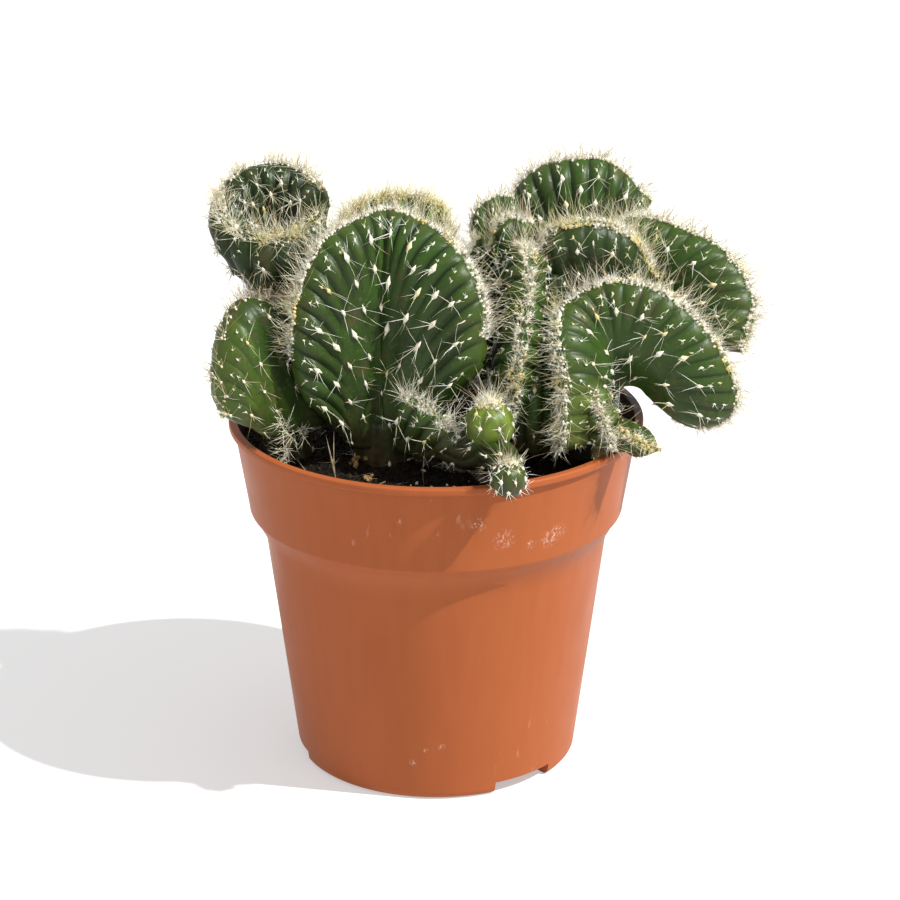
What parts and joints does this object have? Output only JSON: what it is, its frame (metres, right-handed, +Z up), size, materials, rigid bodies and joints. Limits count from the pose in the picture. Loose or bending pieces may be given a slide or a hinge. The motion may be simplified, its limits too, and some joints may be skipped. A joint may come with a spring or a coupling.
{
  "type": "potted crested cactus",
  "caption": "Spiny crested cactus with fan-shaped ribbed heads edged in cream wool, growing in a filled terracotta-coloured plastic pot with a deep rim band and a notched foot.",
  "frame": {"origin": "the middle of the part's box, in the plane of the pot's foot", "axes": "+Z up along the pot's axis, -Y towards the side that shows the widest faces of the plant, +X to the right seen from that side"},
  "size_m": [0.1622, 0.1284, 0.1776],
  "materials": {
    "terracotta_plastic": "satin",
    "peat": "loose crumbly peat",
    "cactus_skin": "waxy plant skin",
    "cream_wool": "matte felt"
  },
  "bodies": {
    "root": {"pot": "terracotta_plastic", "soil": "peat", "cactus_left": "cactus_skin", "cactus_right": "cactus_skin", "wool_low_lobe_1": "cream_wool", "wool_back_lobe_1": "cream_wool", "wool_curl_1": "cream_wool", "wool_great_fan_1": "cream_wool", "wool_rear_fan_1": "cream_wool", "wool_front_lobe_1": "cream_wool", "wool_low_fan_1": "cream_wool", "wool_low_fan_2": "cream_wool", "wool_low_fan_3": "cream_wool", "wool_back_fan_1": "cream_wool", "wool_mid_fan_1": "cream_wool", "wool_top_fan_1": "cream_wool", "wool_inner_fan_1": "cream_wool", "wool_fold_fan_1": "cream_wool", "wool_narrow_fan_1": "cream_wool", "wool_rim_fan_1": "cream_wool"}
  },
  "joints": []
}
